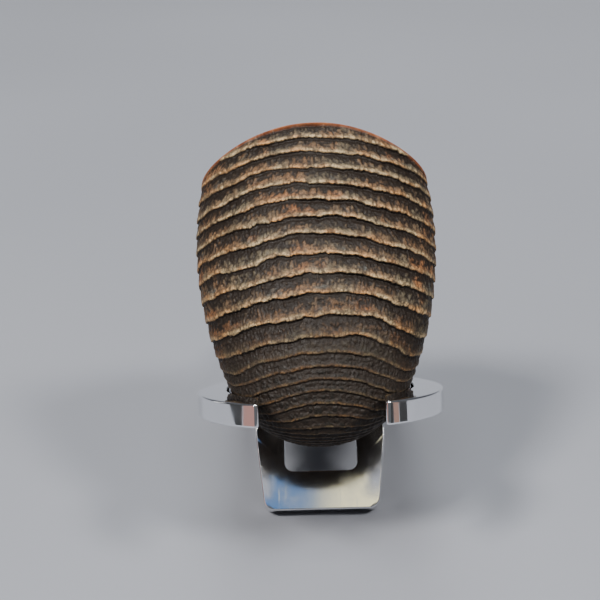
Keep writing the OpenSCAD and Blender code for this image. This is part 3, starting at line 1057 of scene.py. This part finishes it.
def briar_material():
    m = Shader("briar", Specular_IOR_Level=0.17)
    hollow, lip = m.value("hollow"), m.value("lip")
    blasted, inside, comb = m.value("blasted"), m.value("inside"), m.value("comb")
    face = m.mix(m.ramp(m.noise(0.007, 4), 0.38, 0.62), OLIVE, UMBER)
    face = m.mix(m.ramp(m.noise(0.0042, 3, (1, 1.3, 0.8)), 0.56, 0.70), face, ASH)
    rust = m.ramp(m.noise(0.0061, 4, (1.3, 1, 1)), 0.54, 0.76)
    face = m.mix(m.math("MULTIPLY", rust, 0.75), face, RUST)
    # Painted highlight: the lips are paled towards cream and tan where they would catch the light
    # from above, and dimmed in the heel's painted shade
    lip_highlight = m.mix(m.ramp(m.noise(0.0035, 3), 0.40, 0.66), LIP_HIGHLIGHT_CREAM, LIP_HIGHLIGHT_TAN)
    # Painted shade: the heel, which faces away from the lamps, is darkened almost to black
    face = m.mix(m.math("MULTIPLY", m.value("low"), 0.97), face, HEEL_PAINTED_SHADE)
    lit = m.math("MULTIPLY", lip, m.ramp(m.noise(0.0016, 4), 0.30, 0.62, 0.35, 0.95))
    lit = m.math("MULTIPLY", lit, m.ramp(m.value("low"), 0.2, 1.0, 1.0, 0.22))
    face = m.mix(lit, face, lip_highlight)
    face = m.mix(m.ramp(comb, -0.15, 0.75, 0.0, 0.80), face, COMB_DARK)
    grain = m.ramp(m.noise(0.00022, 2), 0.35, 0.7, 0.65, 1.3)
    face = m.mix(1.0, face, grain, "MULTIPLY")
    # Partly dark stain and partly painted shade: the deeper the relief, the closer to the groove
    # colour
    deep = m.ramp(hollow, 0.28, 0.82)
    face = m.mix(deep, face, GROOVE_STAIN_AND_SHADE)
    rim = m.mix(m.ramp(m.noise(0.0009, 5), 0.40, 0.62), RIM_RED, RIM_BROWN)
    rim = m.mix(m.ramp(m.noise(0.004, 2), 0.4, 0.7, 0.0, 0.6), rim, RIM_LIGHT)
    colour = m.mix(blasted, rim, face)
    soot = m.mix(m.ramp(m.noise(0.0011, 4), 0.35, 0.65), SOOT, SOOT_BROWN)
    colour = m.mix(inside, colour, soot)
    waxed = m.ramp(m.noise(0.0006, 3), 0.3, 0.7, 0.42, 0.72)
    rough = m.mix(blasted, (0.22, 0.22, 0.22), waxed)
    rough = m.mix(inside, rough, (0.85, 0.85, 0.85))
    m.set(Base_Color=colour, Roughness=rough)
    fibres = m.math("ADD", m.noise(0.00028, 3), m.math("MULTIPLY", m.noise(0.0009, 2), 0.8))
    amount = m.math("MULTIPLY", m.math("ADD", blasted, inside), 0.75)
    m.bump(fibres, 0.00012, amount)
    return m.material


def chrome_material(name, haze=0.0):
    m = Shader(name, Metallic=1.0, Base_Color=(0.83, 0.84, 0.86))
    hair = m.noise(0.00035, 2, (1, 0.03, 0.03), 0.6)
    cross = m.noise(0.00030, 2, (0.04, 1, 0.6), 0.6)
    swirl = m.noise(0.006, 3)
    scratch = m.math("MAXIMUM", m.ramp(hair, 0.66, 0.78), m.ramp(cross, 0.69, 0.80))
    smear = m.ramp(swirl, 0.45, 0.75, 0.035 + haze, 0.11 + haze)
    m.set(Roughness=m.math("ADD", smear, m.math("MULTIPLY", scratch, 0.10)))
    m.bump(m.math("ADD", m.math("MULTIPLY", scratch, -0.35), m.noise(0.011, 1)), 0.00002, 0.35)
    return m.material


def steel_material():
    m = Shader("pin_steel", Metallic=1.0, Base_Color=(0.58, 0.58, 0.60))
    turned_marks = m.noise(0.00015, 2, (1, 0.05, 0.05))
    m.set(Roughness=m.ramp(turned_marks, 0.3, 0.7, 0.22, 0.42))
    m.bump(turned_marks, 0.00002, 0.4)
    return m.material


def washer_material():
    m = Shader("washer_steel", Metallic=1.0, Base_Color=(0.46, 0.46, 0.47))
    m.set(Roughness=m.ramp(m.noise(0.0004, 4), 0.3, 0.7, 0.35, 0.6))
    return m.material


def stem_material():
    m = Shader("black_vulcanite", Base_Color=(0.011, 0.011, 0.012), Coat_Weight=0.4)
    haze = m.noise(0.005, 4)
    hair = m.noise(0.0002, 2, (1, 0.04, 0.3))
    m.set(Roughness=m.math("ADD", m.ramp(haze, 0.35, 0.75, 0.10, 0.20),
                           m.ramp(hair, 0.62, 0.74, 0.0, 0.12)))
    m.set(Coat_Roughness=0.07)
    m.bump(m.noise(0.0045, 2), 0.00003, 0.5)
    return m.material


def tenon_material():
    m = Shader("white_tenon", Base_Color=(0.80, 0.80, 0.77), Roughness=0.38,
               Subsurface_Weight=0.15)
    m.set(Subsurface_Radius=(0.0012, 0.0011, 0.0010))
    m.bump(m.noise(0.00018, 1, (0.05, 1, 1)), 0.00002, 0.5)
    return m.material


def paper_material():
    m = Shader("filter_paper", Roughness=0.88)
    fibre = m.noise(0.0007, 5, (1, 0.4, 1))
    m.set(Base_Color=m.mix(m.ramp(fibre, 0.3, 0.7), (0.80, 0.76, 0.66), (0.88, 0.86, 0.79)))
    m.bump(fibre, 0.00006, 0.6)
    return m.material


def ceramic_material():
    m = Shader("filter_ceramic", Roughness=0.75)
    speck = m.noise(0.0004, 4)
    m.set(Base_Color=m.mix(m.ramp(speck, 0.35, 0.7), (0.76, 0.70, 0.58), (0.86, 0.83, 0.75)))
    m.bump(speck, 0.00008, 0.7)
    return m.material


def cap_material():
    m = Shader("filter_plastic", Roughness=0.35, Subsurface_Weight=0.1)
    m.set(Subsurface_Radius=(0.0006, 0.0008, 0.001))
    tint = m.noise(0.002, 2)
    m.set(Base_Color=m.mix(tint, (0.22, 0.47, 0.72), (0.30, 0.56, 0.80)))
    m.bump(m.noise(0.0006, 2), 0.00003, 0.4)
    return m.material


def charcoal_material():
    m = Shader("charcoal", Roughness=0.9)
    grain = m.node("ShaderNodeTexVoronoi", Vector=m.where(), Scale=1 / 0.0007)
    m.set(Base_Color=m.mix(grain.outputs["Distance"], (0.035, 0.035, 0.036),
                           (0.008, 0.008, 0.008)))
    m.bump(grain.outputs["Distance"], 0.0002, 0.9)
    return m.material


# ---------------- the object
def put(obj, name, material, body, node):
    """Puts a finished piece on its body, in place of a node's plain CAD shape."""
    obj.name = name
    obj.data.name = name
    obj.data.materials.clear()
    obj.data.materials.append(material)
    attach(obj, body)
    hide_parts(node)


put(make_briar(), "briar_bowl", briar_material(), "pipe", "pipe_bowl")
put(make_cradle(), "chrome_cradle", chrome_material("chrome_plate"), "stand", "cradle_plate")
put(make_leg(), "chrome_leg", chrome_material("chrome_leg", 0.06), "leg", "prop_leg")
put(make_pin(), "steel_pin", steel_material(), "stand", "hinge_pin")
put(make_washers(), "steel_washers", washer_material(), "stand", "hinge_washers")
put(make_mouthpiece(), "black_mouthpiece", stem_material(), "stem", "mouthpiece")
put(make_tenon(), "turned_tenon", tenon_material(), "stem", "tenon")
put(make_filter_tube(), "paper_tube", paper_material(), "filter", "filter_tube")
for node, material in (("filter_cap_ceramic", ceramic_material()),
                       ("filter_cap_plastic", cap_material()),
                       ("filter_charcoal", charcoal_material())):
    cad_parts[node].data.materials.clear()
    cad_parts[node].data.materials.append(material)


# ---------------- floor, lights, camera
def make_floor():
    """A seamless sweep: flat floor that curves up into the backdrop far behind."""
    half, front, curve_at, curve_r, height = 3000, -3000, 900, 500, 2600
    path = [(front, 0), (curve_at, 0)]
    path += [(curve_at + curve_r * sin_d(a), curve_r * (1 - cos_d(a))) for a in range(5, 91, 5)]
    path += [(curve_at + curve_r, height)]
    points = [(x, y, z) for y, z in path for x in (-half, half)]
    faces = np.array([[2 * i, 2 * i + 1, 2 * i + 3, 2 * i + 2] for i in range(len(path) - 1)])
    floor = new_mesh("floor", points, [faces])
    m = Shader("floor_paper", Roughness=0.75, Specular_IOR_Level=0.3)
    tone = m.ramp(m.noise(0.35, 2), 0.3, 0.7)
    m.set(Base_Color=m.mix(tone, (0.170, 0.177, 0.200), (0.196, 0.203, 0.228)))
    m.bump(m.noise(0.0012, 3), 0.00005, 0.3)
    floor.data.materials.append(m.material)


def show_card(name, points, colour, glow):
    """A card that only shows in the chrome's reflections."""
    made = new_mesh(name, points, [np.array([[0, 1, 2, 3]])])
    m = Shader(name, Base_Color=(0.02, 0.02, 0.02), Roughness=0.8)
    m.set(Emission_Color=colour, Emission_Strength=glow)
    made.data.materials.append(m.material)
    made.visible_shadow = False
    made.visible_diffuse = False
    made.visible_camera = False


def slab(name, across, deep, height, colour, glow):
    """A level card high above the front, which the folded-out leg mirrors."""
    (x0, x1), (y0, y1) = across, deep
    points = [(x0, y0 - MID_Y, height), (x1, y0 - MID_Y, height),
              (x1, y1 - MID_Y, height), (x0, y1 - MID_Y, height)]
    show_card(name, points, colour, glow)


def round_card(name, near, far, distance, high, colour, glow):
    """An upright card beside the stand, between two compass angles from the front."""
    (x0, y0), (x1, y1) = [(distance * sin_d(a), -MID_Y - distance * cos_d(a))
                          for a in (near, far)]
    show_card(name, [(x0, y0, 0), (x1, y1, 0), (x1, y1, high), (x0, y0, high)], colour, glow)


def softbox(name, place, target, size, power, colour):
    """A soft rectangular lamp, aimed from its place at a target."""
    data = bpy.data.lights.new(name, "AREA")
    data.shape = "RECTANGLE"
    data.size = size[0]
    data.size_y = size[1]
    data.energy = power
    data.color = colour
    lamp = link(data, name)
    lamp.location = place
    aim = Vector(target) - Vector(place)
    lamp.rotation_euler = aim.to_track_quat("-Z", "Y").to_euler()


make_floor()
# Lamps are placed and sized in metres
OBJECT = (0, -MID_Y * MM, 0.04)
softbox("key", (-0.62, -0.66, 1.10), OBJECT, (0.28, 0.28), 31.0, (1.0, 0.97, 0.93))
softbox("side", (0.66, -0.50, 0.95), OBJECT, (0.24, 0.24), 15.0, (1.0, 0.98, 0.95))
softbox("top", (0.0, -0.42, 1.40), OBJECT, (0.6, 0.6), 13.0, (0.93, 0.97, 1.0))
softbox("back", (-0.05, 0.75, 0.90), (0, 0.75, 0), (0.9, 0.4), 7.0, (0.98, 1.0, 0.97))
round_card("card_pink", -40, -72, 262, 170, (0.80, 0.42, 0.36), 0.62)
round_card("card_dark_left", -73, -107, 260, 120, (0.05, 0.055, 0.06), 0.3)
round_card("card_white", -108, -115, 262, 120, (1, 1, 1), 1.6)
round_card("card_dark_right", 57, 65, 260, 120, (0.04, 0.04, 0.045), 0.3)
round_card("card_copper", 65.5, 71, 262, 120, (0.62, 0.36, 0.28), 0.6)
round_card("card_dark_far", 71.5, 80, 260, 120, (0.04, 0.04, 0.045), 0.3)

slab("card_sky", (-260, 6), (-560, -150), 520, (0.16, 0.42, 0.95), 0.55)
slab("card_warm", (10, 240), (-560, -150), 520, (1.0, 0.90, 0.55), 1.5)

world = bpy.data.worlds.new("studio")
world.use_nodes = True
background = world.node_tree.nodes["Background"]
background.inputs["Color"].default_value = (0.86, 0.90, 0.96, 1)
background.inputs["Strength"].default_value = 0.15
bpy.context.scene.world = world

# Camera: a long lens a little above the stand, tipped slightly to one side
CAMERA_ELEVATION = 24.0
CAMERA_DISTANCE = 238.45
CAMERA_ROLL = -1.43
CAMERA_TARGET = Vector((-2.95, -MID_Y, 44.5)) * MM
back = Vector((0, -cos_d(CAMERA_ELEVATION), sin_d(CAMERA_ELEVATION)))
level = Vector((1, 0, 0))
upright = Vector((0, sin_d(CAMERA_ELEVATION), cos_d(CAMERA_ELEVATION)))
right = level * cos_d(CAMERA_ROLL) + upright * sin_d(CAMERA_ROLL)
up = upright * cos_d(CAMERA_ROLL) - level * sin_d(CAMERA_ROLL)
data = bpy.data.cameras.new("camera")
data.lens = 90
data.sensor_width = 36
data.clip_start = 0.01
data.clip_end = 20
camera = link(data, "camera")
turn = Matrix((right, up, back)).transposed().to_4x4()
camera.matrix_world = Matrix.Translation(CAMERA_TARGET + back * CAMERA_DISTANCE * MM) @ turn
bpy.context.scene.camera = camera
